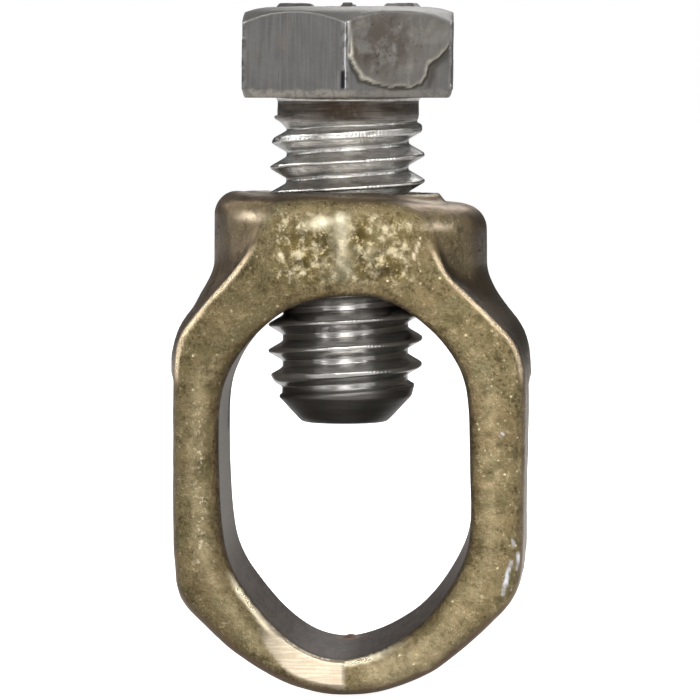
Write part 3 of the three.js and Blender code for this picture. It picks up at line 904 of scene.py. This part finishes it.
# ------------------------------------------------------------------ shader building
class Signal:
    """A shader output; combining it with + - * or a method adds nodes."""

    def __init__(self, mat, socket):
        self.mat, self.socket = mat, socket

    def __add__(self, other):
        return self.mat.math("ADD", self, other)

    def __radd__(self, other):
        return self.mat.math("ADD", other, self)

    def __sub__(self, other):
        return self.mat.math("SUBTRACT", self, other)

    def __mul__(self, other):
        return self.mat.math("MULTIPLY", self, other)

    def max(self, other):
        return self.mat.math("MAXIMUM", self, other)

    def inverse(self):
        return self.mat.math("SUBTRACT", 1.0, self, clamp=True)

    def ramp(self, over, to=(0.0, 1.0)):
        """Smooth change between the values of `to` as the signal crosses `over`."""
        return self.mat.node("MapRange", dict(enumerate((self, *over, *to))),
                             interpolation_type="SMOOTHSTEP", clamp=True)

    def blend(self, low, high):
        """A number between low and high, with this signal as the factor."""
        return self.mat.node("Mix", {0: self, 2: low, 3: high},
                             data_type="FLOAT", clamp_factor=True)

    def colours(self, low, high):
        """A colour between low and high, with this signal as the factor."""
        return self.mat.node("Mix", {0: self, 6: low, 7: high}, output=2,
                             data_type="RGBA", clamp_factor=True)

    def coat(self, amount, rgb):
        """This colour covered by another."""
        return amount.colours(self, rgb)


class Shader:
    """A principled material whose textures are placed in object millimetres."""

    def __init__(self, name):
        self.material = bpy.data.materials.new(name)
        self.material.use_nodes = True
        self.tree = self.material.node_tree
        self.tree.nodes.clear()
        output = self.tree.nodes.new("ShaderNodeOutputMaterial")
        self.bsdf = self.tree.nodes.new("ShaderNodeBsdfPrincipled")
        self.tree.links.new(self.bsdf.outputs[0], output.inputs[0])
        place = self.node("TexCoord", {}, output="Object")
        self.mm = self.node("VectorMath", {0: place, "Scale": 1000.0}, operation="SCALE")

    def put(self, socket, value):
        if isinstance(value, Signal):
            self.tree.links.new(value.socket, socket)
        elif socket.type == "RGBA":
            socket.default_value = (*value, 1)
        else:
            socket.default_value = value

    def node(self, kind, inputs, output=0, **settings):
        node = self.tree.nodes.new("ShaderNode" + kind)
        for key, value in settings.items():
            setattr(node, key, value)
        for key, value in inputs.items():
            self.put(node.inputs[key], value)
        return Signal(self, node.outputs[output])

    def math(self, operation, a, b, clamp=False):
        return self.node("Math", {0: a, 1: b, 2: 0.0}, operation=operation, use_clamp=clamp)

    def attributes(self, names):
        return [self.node("Attribute", {}, output="Fac", attribute_name=name)
                for name in names.split()]

    def split(self, kind, value):
        node = self.node(kind, {0: value}).socket.node
        return [Signal(self, socket) for socket in node.outputs]

    def position(self):
        return self.split("SeparateXYZ", self.mm)

    def noise(self, detail, rough, scale=1.0, shift=None, stretch=None, turn=(0.0, 0.0, 0.0)):
        place = self.mm
        if shift:
            place = self.node("VectorMath", {0: place, 1: shift}, operation="ADD")
        if stretch:
            place = self.node("Mapping", {"Vector": place, "Rotation": turn, "Scale": stretch})
        return self.node("TexNoise", {"Vector": place, "Scale": scale, "Detail": detail,
                                      "Roughness": rough}, output="Fac")

    def speckle(self, scale, channel, size, pick):
        """Dots at some cells; size and pick are ramps on cell distance and cell colour."""
        inputs = {"Vector": self.mm, "Scale": scale}
        distance = self.node("TexVoronoi", inputs, output="Distance")
        colour = self.node("TexVoronoi", inputs, output="Color")
        chosen = self.split("SeparateColor", colour)[channel]
        return distance.ramp(over=size) * chosen.ramp(over=pick)

    def finish(self, colour, metallic, roughness, height, strength, distance):
        normal = self.node("Bump", {"Height": height, "Strength": strength,
                                    "Distance": distance})
        for key, value in (("Base Color", colour), ("Metallic", metallic),
                           ("Roughness", roughness), ("Normal", normal)):
            self.put(self.bsdf.inputs[key], value)
        return self.material


# ------------------------------------------------------------------ bronze
# In both materials `over` is the range a mask is read across and `to` its resulting strength;
# a factor on a mask is the strength of that coat.
def bronze_scratches(mat, mid):
    """Short scratches in three directions."""
    lines = [mat.noise(detail=2.0, rough=0.5, turn=turn, stretch=stretch)
             for turn, stretch in (((0.0, 0.75, 0.0), (0.9, 0.9, 9.0)),
                                   ((0.2, -0.95, 0.3), (0.9, 0.9, 8.0)),
                                   ((0.1, 1.5, 0.2), (0.9, 0.9, 10.0)))]
    first_two = lines[0].ramp(over=(0.70, 0.77)).max(lines[1].ramp(over=(0.70, 0.77)))
    return first_two.max(lines[2].ramp(over=(0.71, 0.78))) * mid.ramp(over=(0.50, 0.62))


def bronze_side_colour(mat, fine):
    """Smoother, browner sides, shaded on the right of the boss."""
    mottle = mat.noise(scale=0.9, detail=5.0, rough=0.6).ramp(over=(0.35, 0.65))
    colour = mottle.colours(low=(0.145, 0.097, 0.057), high=(0.275, 0.196, 0.122))
    colour = colour.coat(fine.ramp(over=(0.55, 0.7)), rgb=(0.2, 0.165, 0.13))
    x, _, z = mat.position()
    shade = x.ramp(over=(3.5, 7.0)) * (z.ramp(over=(18.5, 22.0)) * z.ramp(over=(28.6, 27.6)))
    return colour.coat(shade * 0.85, rgb=(0.08, 0.053, 0.030))


def bronze_wall_colour(mat, tip):
    """Oxidised grey wall of the opening, with painted light at the top and painted shade low down.
    """
    streak = mat.noise(detail=4.0, rough=0.6, stretch=(2.2, 0.35, 2.2)).ramp(over=(0.38, 0.62))
    colour = streak.colours(low=(0.060, 0.046, 0.036), high=(0.115, 0.096, 0.080))
    patch = mat.noise(scale=0.6, detail=4.0, rough=0.6).ramp(over=(0.45, 0.6))
    colour = colour.coat(patch * 0.6, rgb=(0.075, 0.048, 0.034))
    _, _, z = mat.position()
    # Painted light makes the wall paler towards the top; painted shade darkens it low down.
    colour = colour.coat(z.ramp(over=(5.0, 11.0)) * 0.8, rgb=(0.30, 0.272, 0.238))
    colour = colour.coat(z.ramp(over=(5.0, 3.2)) * 0.4, rgb=(0.035, 0.026, 0.020))
    return colour.coat(tip, rgb=(0.15, 0.085, 0.062))


def bronze_material():
    mat = Shader("aged_bronze")
    side, wall, tip, worn, dirt, facet, mark, scuff, bore, stain, pit = mat.attributes(
        "side wall tip worn dirt facet mark scuff bore stain pit")
    glow, glint, painted_ridge_highlight_mask, high, rib, band, dent, rim_highlight_and_scratch_mask = mat.attributes(
        "glow glint ridge high rib band dent spot")
    rim_shade_mask, edge, fringe = mat.attributes("rimdark edge fringe")
    big = mat.noise(scale=0.42, detail=5.0, rough=0.6)
    mid = mat.noise(scale=1.5, detail=6.0, rough=0.65)
    fine = mat.noise(scale=4.6, detail=5.0, rough=0.7)
    grit = mat.noise(scale=13.0, detail=3.0, rough=0.6)

    # Mottled ground with olive and warm patches
    tone = big * 0.30 + mid * 0.32 + fine * 0.38
    colour = tone.ramp(over=(0.42, 0.50)).colours(
        low=(0.080, 0.062, 0.028), high=(0.20, 0.156, 0.078))
    colour = colour.coat(tone.ramp(over=(0.515, 0.62)), rgb=(0.39, 0.312, 0.178))
    olive = mat.noise(scale=0.7, detail=4.0, rough=0.6, shift=(13.0, 5.0, 9.0))
    colour = colour.coat(olive.ramp(over=(0.52, 0.70)) * 0.5, rgb=(0.16, 0.148, 0.075))
    warm = mat.noise(scale=0.55, detail=3.0, rough=0.5, shift=(-7.0, 21.0, 3.0))
    colour = colour.coat(warm.ramp(over=(0.50, 0.68)) * 0.45, rgb=(0.27, 0.195, 0.10))

    # Painted sparkle highlights (dots and flecks), bright scratches, dark specks
    dots = mat.speckle(scale=2.6, channel=0, size=(0.30, 0.10), pick=(0.70, 0.78))
    dots = dots * fine.ramp(over=(0.42, 0.6))
    scratches = bronze_scratches(mat, mid)
    front = side.max(wall).inverse()
    flecks = mat.noise(scale=8.5, detail=3.0, rough=0.6).ramp(over=(0.60, 0.70))
    flecks = flecks * mid.ramp(over=(0.40, 0.60), to=(0.25, 1.0))
    specks = mat.speckle(scale=5.4, channel=2, size=(0.48, 0.16), pick=(0.70, 0.80))
    sparkles_and_scratches = (dots * 0.9).max(scratches * 0.75).max(flecks * 0.45)
    colour = colour.coat(specks * front.blend(low=0.0, high=0.5), rgb=(0.09, 0.072, 0.034))
    colour = colour.coat(sparkles_and_scratches * front.blend(low=0.3, high=1.0), rgb=(0.80, 0.70, 0.45))

    # Painted shade towards the left, painted light low on the right
    x, _, z = mat.position()
    colour = colour.coat(x.ramp(over=(-1.0, -5.5)) * 0.37, rgb=(0.03, 0.023, 0.011))
    painted_light_low_right = (z.ramp(over=(5.0, 1.5)) * x.ramp(over=(0.5, 2.2))
             * mid.ramp(over=(0.35, 0.6), to=(0.5, 1.0)))
    colour = colour.coat(painted_light_low_right * 0.38, rgb=(0.66, 0.55, 0.34))
    # Painted glints: bright specks down the left of the front
    sparkle = mat.noise(scale=4.6, detail=3.0, rough=0.6, shift=(1.0, 8.0, 5.0))
    glint = glint * sparkle.ramp(over=(0.55, 0.63))
    colour = colour.coat(glint * 0.42, rgb=(0.86, 0.79, 0.62))

    colour = colour.coat(side * 0.85, rgb=bronze_side_colour(mat, fine))
    colour = colour.coat(wall, rgb=bronze_wall_colour(mat, tip))
    # Painted shade near the back edge of the left wall
    colour = colour.coat(stain * 0.95, rgb=(0.006, 0.005, 0.012))

    # Worn edges, a painted highlight along the shoulder ridges and a painted highlight band round
    # the opening
    wear = worn.ramp(over=(0.16, 0.5)) * (mid + fine * 0.5).ramp(over=(0.58, 0.84))
    colour = colour.coat(wear * 0.75, rgb=(0.72, 0.60, 0.36))
    # Painted highlight along the shoulder ridges
    ridge = painted_ridge_highlight_mask * mid.ramp(over=(0.3, 0.5), to=(0.55, 1.0))
    colour = colour.coat(ridge * 0.9, rgb=(0.86, 0.68, 0.46))
    # Painted highlight in a band along the crowned face beside the opening
    band = band * mid.ramp(over=(0.35, 0.6), to=(0.35, 1.0))
    colour = colour.coat(band * 0.26, rgb=(0.60, 0.50, 0.30))

    # Boss relief: random tone plus painted shade and highlight by relief height; painted dent shade,
    # gold glints and rib highlight
    lump = mat.noise(scale=1.55, detail=5.0, rough=0.65, shift=(3.0, 17.0, -8.0))
    rough_patch = mark * rib.inverse()
    # Painted shade on the relief's low parts, over random tone
    hollow = lump.ramp(over=(0.52, 0.37)) * 0.75 + high.ramp(over=(0.46, 0.2)) * 0.6
    colour = colour.coat(rough_patch * hollow, rgb=(0.14, 0.105, 0.036))
    # Painted highlight on the relief's high parts, over random tone
    swell_tone_and_highlight = lump.ramp(over=(0.48, 0.66)) * 0.80 + high.ramp(over=(0.54, 0.85)) * 0.35
    colour = colour.coat(rough_patch * swell_tone_and_highlight, rgb=(0.74, 0.65, 0.43))
    # Painted shade in the dents
    colour = colour.coat(dent * fine.ramp(over=(0.34, 0.62), to=(1.0, 0.7)),
                         rgb=(0.050, 0.035, 0.011))
    # Painted gold glints in the dents and over the relief
    fleck = mat.noise(scale=2.9, detail=4.0, rough=0.62, shift=(9.0, -4.0, 6.0))
    painted_gold_glint = fleck.ramp(over=(0.55, 0.63)) * mat.math("ADD", dent * 0.62, mark * 0.22, clamp=True)
    colour = colour.coat(painted_gold_glint, rgb=(0.86, 0.70, 0.36))
    # Pale rib: painted highlight on the raised rib and on the rim above it
    colour = colour.coat(rib * mid.ramp(over=(0.3, 0.55), to=(0.65, 1.0)),
                         rgb=(0.90, 0.82, 0.60))
    # Painted highlights on the boss's rim, and a bright scratch
    spot = rim_highlight_and_scratch_mask * mid.ramp(over=(0.35, 0.55), to=(0.5, 1.0))
    colour = colour.coat(spot * 0.95, rgb=(0.98, 0.80, 0.58))

    # Rim of the opening with painted shade and a painted bevel highlight, outer fringe and the
    # dressed flat
    # Painted shade on the rim's rounding
    colour = colour.coat(rim_shade_mask * 0.75, rgb=(0.085, 0.055, 0.03))
    # Painted highlight on the bevel low inside the opening
    colour = colour.coat(glow * fine.ramp(over=(0.3, 0.55), to=(0.75, 1.0)),
                         rgb=(0.98, 0.87, 0.63))
    colour = colour.coat(edge * fine.ramp(over=(0.35, 0.55), to=(0.95, 0.7)),
                         rgb=(0.026, 0.017, 0.010))
    colour = colour.coat(fringe * fine.ramp(over=(0.35, 0.55), to=(0.65, 1.0)),
                         rgb=(0.14, 0.09, 0.055))
    grain = mat.noise(detail=3.0, rough=0.6, turn=(0.0, 0.16, 0.0), stretch=(0.5, 0.5, 11.0))
    flat_colour = grain.ramp(over=(0.42, 0.60)).colours(
        low=(0.36, 0.302, 0.222), high=(0.45, 0.39, 0.305))
    colour = colour.coat(facet * fine.ramp(over=(0.3, 0.6), to=(0.85, 1.0)), rgb=flat_colour)

    # Darkening in hollows, pits, painted shade in the bore, scuffs
    colour = colour.coat(dirt.ramp(over=(0.10, 0.55)) * 0.85, rgb=(0.05, 0.038, 0.02))
    colour = colour.coat(pit * 0.55, rgb=(0.10, 0.085, 0.035))
    # Painted shade in the bore
    colour = colour.coat(bore, rgb=(0.10, 0.08, 0.05))
    colour = colour.coat(scuff, rgb=(0.66, 0.66, 0.70))

    rough = side.blend(low=0.24 + mid * 0.28, high=0.20 + big * 0.18)
    for mask, value in ((wall, 0.58), (sparkles_and_scratches.max(wear), 0.27), (ridge.max(glow), 0.26),
                        (rib.max(spot), 0.33), (facet, 0.38),
                        (dirt.ramp(over=(0.1, 0.6)), 0.7)):
        rough = mask.blend(low=rough, high=value)
    strength = side.blend(low=0.85, high=0.3)
    strength = wall.blend(low=strength, high=0.12)
    strength = facet.blend(low=strength, high=0.12)
    return mat.finish(
        colour=colour, roughness=rough, strength=strength, distance=0.00032,
        metallic=scuff.blend(low=wall.blend(low=0.92, high=0.45), high=0.2),
        height=mid * 0.55 + fine * 0.35 + grit * 0.14 - scratches * 0.12)


# ------------------------------------------------------------------ steel
def steel_shank_colour(mat, mid, turned, upper):
    """Dark and smooth low down, dull grey above the casting, browner at the neck with painted shade
    just under the head.
    """
    crest, root, neck, band, cone = mat.attributes("crest root neck band cone")
    low = turned.ramp(over=(0.35, 0.65)).colours(
        low=(0.34, 0.33, 0.318), high=(0.48, 0.47, 0.455))
    high = (turned * 0.5 + mid * 0.5).ramp(over=(0.36, 0.64)).colours(
        low=(0.33, 0.318, 0.30), high=(0.60, 0.588, 0.565))
    colour = upper.colours(low, high)
    colour = colour.coat(root * upper.blend(low=0.32, high=0.15), rgb=(0.08, 0.075, 0.068))
    colour = colour.coat(crest * upper.blend(low=0.35, high=0.35), rgb=(0.60, 0.59, 0.56))
    grime = mat.noise(scale=1.1, detail=5.0, rough=0.65).ramp(over=(0.50, 0.66))
    colour = colour.coat(grime * upper.blend(low=0.15, high=0.5), rgb=(0.13, 0.105, 0.08))
    neck_colour = (turned * 0.7 + mid * 0.3).ramp(over=(0.38, 0.62)).colours(
        low=(0.115, 0.10, 0.088), high=(0.20, 0.182, 0.162))
    # Painted shade in a band round the neck just under the head
    neck_colour = neck_colour.coat(band * turned.ramp(over=(0.3, 0.55), to=(0.95, 0.6)),
                                   rgb=(0.07, 0.052, 0.04))
    # Painted shade across the front of the neck under the head
    x = mat.position()[0]
    middle = x.ramp(over=(-2.6, -0.6)) * x.ramp(over=(2.2, 0.6))
    neck_colour = neck_colour.coat(middle * mid.ramp(over=(0.3, 0.55), to=(0.55, 0.9)),
                                   rgb=(0.032, 0.022, 0.015))
    colour = colour.coat(neck, rgb=neck_colour)
    return colour.coat(cone * 0.82, rgb=(0.052, 0.046, 0.041)), crest, neck, cone


def steel_head_colour(mat, big, mid, fine, brushed, tongue, corner, notch):
    """Brushed flats with rust, the tongue and bruised corners lightened partly as painted highlight;
    also returns the rust mask.
    """
    cham, lip, lip_bright, under, stain = mat.attributes("cham lip lipb under stain")
    colour = (brushed * 0.6 + big * 0.4).ramp(over=(0.38, 0.62)).colours(
        low=(0.138, 0.133, 0.128), high=(0.175, 0.169, 0.163))
    brown = mat.noise(scale=0.9, detail=4.0, rough=0.6, shift=(4.0, 9.0, 2.0))
    colour = colour.coat(brown.ramp(over=(0.60, 0.72), to=(0.0, 0.35)), rgb=(0.20, 0.16, 0.12))
    colour = colour.coat(tongue * 0.6, rgb=(0.178, 0.165, 0.145))
    colour = colour.coat(cham, rgb=(0.20, 0.193, 0.182))
    # Painted light on the tapered rim under the flats
    colour = colour.coat(lip * mid.ramp(over=(0.40, 0.52), to=(0.35, 1.0)),
                         rgb=(0.29, 0.27, 0.235))
    blots = (mat.noise(scale=0.62, detail=5.0, rough=0.6) * 0.85
             + mat.noise(scale=3.2, detail=5.0, rough=0.6) * 0.15)
    rust = stain * blots.ramp(over=(0.43, 0.56))
    colour = colour.coat(rust * 0.85, rgb=(0.062, 0.047, 0.036))
    specks = stain * mat.noise(scale=2.2, detail=4.0, rough=0.6).ramp(over=(0.62, 0.68))
    colour = colour.coat(specks * 0.7, rgb=(0.03, 0.023, 0.018))
    patchy = (mid * 0.6 + fine * 0.4).ramp(over=(0.38, 0.58), to=(0.35, 0.85))
    colour = colour.coat(lip_bright * patchy, rgb=(0.46, 0.43, 0.36))
    colour = colour.coat(under * 0.85, rgb=(0.05, 0.045, 0.035))
    # Lighter corners: partly bruised wear, partly painted highlight
    colour = colour.coat(corner * mid.ramp(over=(0.42, 0.55), to=(0.1, 0.6)),
                         rgb=(0.5, 0.5, 0.5))
    return colour.coat(notch, rgb=(0.015, 0.015, 0.02)), rust


def steel_material():
    mat = Shader("worn_steel")
    head, upper, tongue, corner, notch = mat.attributes("head upper tongue corner notch")
    big = mat.noise(scale=0.5, detail=5.0, rough=0.6)
    mid = mat.noise(scale=2.2, detail=5.0, rough=0.6)
    fine = mat.noise(scale=7.0, detail=4.0, rough=0.65)
    brushed = mat.noise(detail=3.0, rough=0.55, stretch=(7.0, 7.0, 0.35))
    turned = mat.noise(detail=3.0, rough=0.55, stretch=(0.5, 0.5, 12.0))
    colour, crest, neck, cone = steel_shank_colour(mat, mid, turned, upper)
    head_colour, rust = steel_head_colour(
        mat, big, mid, fine, brushed, tongue, corner, notch)

    rough = upper.blend(low=0.22, high=0.16 + mid * 0.11)
    rough = neck.blend(low=rough, high=0.42)
    head_rough = tongue.blend(low=0.42 + brushed * 0.14, high=0.5)
    head_rough = corner.blend(low=head_rough, high=0.28)
    for mask, value in ((head, head_rough), (crest, 0.25), (cone, 0.42),
                        (rust.max(notch), 0.8)):
        rough = mask.blend(low=rough, high=value)

    head_height = (brushed * 0.12 + mid * 0.3 + fine * tongue.blend(low=0.12, high=0.35)
                   - rust * 0.5)
    shank_height = turned * 0.3 + fine * upper.blend(low=0.1, high=0.5)
    return mat.finish(
        colour=colour.coat(head, rgb=head_colour), roughness=rough,
        metallic=rust.blend(low=0.96, high=0.4),
        height=head.blend(low=shank_height, high=head_height),
        strength=head.max(upper).blend(low=0.18, high=0.4), distance=0.00015)


body = make_casting()
bolt = make_bolt()
body.data.materials.append(bronze_material())
bolt.data.materials.append(steel_material())
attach(body, "clamp_body")
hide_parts("clamp_body")
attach(bolt, "clamp_bolt")
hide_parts("clamp_bolt")


# ------------------------------------------------------------------ floor
def pale_floor():
    """Near-white to the camera, only faintly glowing to everything else."""
    material = bpy.data.materials.new("pale_floor")
    material.use_nodes = True
    tree = material.node_tree
    bsdf = tree.nodes["Principled BSDF"]
    for key, value in (("Base Color", (0.62, 0.62, 0.62, 1)), ("Roughness", 0.9),
                       ("Specular IOR Level", 0.1), ("Emission Color", (1, 1, 1, 1))):
        bsdf.inputs[key].default_value = value
    path = tree.nodes.new("ShaderNodeLightPath")
    glow = tree.nodes.new("ShaderNodeMath")
    glow.operation = "MULTIPLY_ADD"
    glow.inputs[1].default_value = 0.85     # added for the camera
    glow.inputs[2].default_value = 0.10     # for every ray
    tree.links.new(path.outputs["Is Camera Ray"], glow.inputs[0])
    tree.links.new(glow.outputs[0], bsdf.inputs["Emission Strength"])
    return material


floor_z = min(cad_lo[2], 0.0) - 0.00005
bpy.ops.mesh.primitive_circle_add(vertices=96, radius=4.0, fill_type="NGON",
                                  location=(0, 0, floor_z))
floor = bpy.context.object
floor.name = "floor"
floor.data.materials.append(pale_floor())

# ------------------------------------------------------------------ lights
TARGET = Vector((0.0, 0.0, 0.021))
LIGHT_DISTANCE = 0.42


def softbox(name, location, size, watts, colour=(1, 1, 1), target=TARGET):
    data = bpy.data.lights.new(name, "AREA")
    data.shape = "RECTANGLE"
    data.size, data.size_y = size
    data.energy = watts
    data.color = colour
    ob = bpy.data.objects.new(name, data)
    ob.location = location
    ob.rotation_euler = (target - Vector(location)).to_track_quat("-Z", "Y").to_euler()
    bpy.context.scene.collection.objects.link(ob)
    return ob


def around(azimuth, elevation):
    """A place round the target, in degrees; azimuth 0 is the front, 90 the right."""
    azimuth, elevation = math.radians(azimuth), math.radians(elevation)
    return (LIGHT_DISTANCE * math.sin(azimuth) * math.cos(elevation),
            -LIGHT_DISTANCE * math.cos(azimuth) * math.cos(elevation),
            0.021 + LIGHT_DISTANCE * math.sin(elevation))


softbox("key", around(azimuth=3, elevation=18), size=(0.20, 0.42), watts=0.86,
        colour=(1.0, 0.985, 0.95))
# Name, place, (width, height), watts
for light in (
    ("high_right", around(28, 42), (0.13, 0.13), 0.62),
    ("high_left", around(-16, 37), (0.12, 0.12), 0.52),
    ("strip_left", around(-36, 8), (0.035, 0.26), 0.24),
    ("strip_right", around(36, 8), (0.03, 0.26), 0.18),
    ("side_left", around(-86, 30), (0.18, 0.12), 0.75),
    ("side_right", around(84, 28), (0.16, 0.11), 0.30),
    ("overhead", (0.0, -0.05, 0.50), (0.4, 0.3), 0.28),
    ("behind", around(168, 40), (0.24, 0.20), 0.6),
    ("rim_left", around(-117, 30), (0.12, 0.10), 0.30),
    ("rim_right", around(78, 16), (0.11, 0.04), 0.10),
):
    softbox(*light)
card = softbox("card", (0.0, -0.20, 0.018), size=(0.036, 0.032), watts=0.027,
               target=Vector((0.0, 0.0, 0.022)))
card.visible_camera = False


# ------------------------------------------------------------------ world
def studio_world():
    """White to the camera; a dim grey gradient, lighter above, lights the scene."""
    world = bpy.data.worlds.new("studio")
    world.use_nodes = True
    tree = world.node_tree
    tree.nodes.clear()
    output, mixer, seen, fill, place, axes, ramp, path = (
        tree.nodes.new("ShaderNode" + kind) for kind in (
            "OutputWorld", "MixShader", "Background", "Background",
            "TexCoord", "SeparateXYZ", "ValToRGB", "LightPath"))
    seen.inputs["Color"].default_value = (1.0, 1.0, 1.0, 1)
    seen.inputs["Strength"].default_value = 1.0
    fill.inputs["Strength"].default_value = 0.2
    stops = ((0.0, (0.42, 0.42, 0.43, 1)), (0.9, (0.60, 0.60, 0.61, 1)))
    for element, (position, colour) in zip(ramp.color_ramp.elements, stops):
        element.position = position
        element.color = colour
    for source, target in (
        (place.outputs["Generated"], axes.inputs[0]), (axes.outputs[2], ramp.inputs[0]),
        (ramp.outputs[0], fill.inputs[0]), (path.outputs["Is Camera Ray"], mixer.inputs[0]),
        (fill.outputs[0], mixer.inputs[1]), (seen.outputs[0], mixer.inputs[2]),
        (mixer.outputs[0], output.inputs[0]),
    ):
        tree.links.new(source, target)
    return world


bpy.context.scene.world = studio_world()

# ------------------------------------------------------------------ camera
cam_data = bpy.data.cameras.new("camera")
cam_data.lens = 254.7
cam_data.sensor_width = 36.0
cam_data.clip_start, cam_data.clip_end = 0.01, 20.0
cam = bpy.data.objects.new("camera", cam_data)
bpy.context.scene.collection.objects.link(cam)
cam.location = (0.00907, -0.300, 0.02647 + ROD_Z * MM)
aim = Vector((0.00022, 0.0, 0.02055))
cam.rotation_euler = (aim - Vector(cam.location)).to_track_quat("-Z", "Y").to_euler()
bpy.context.scene.camera = cam
bpy.context.scene.view_settings.view_transform = "Standard"
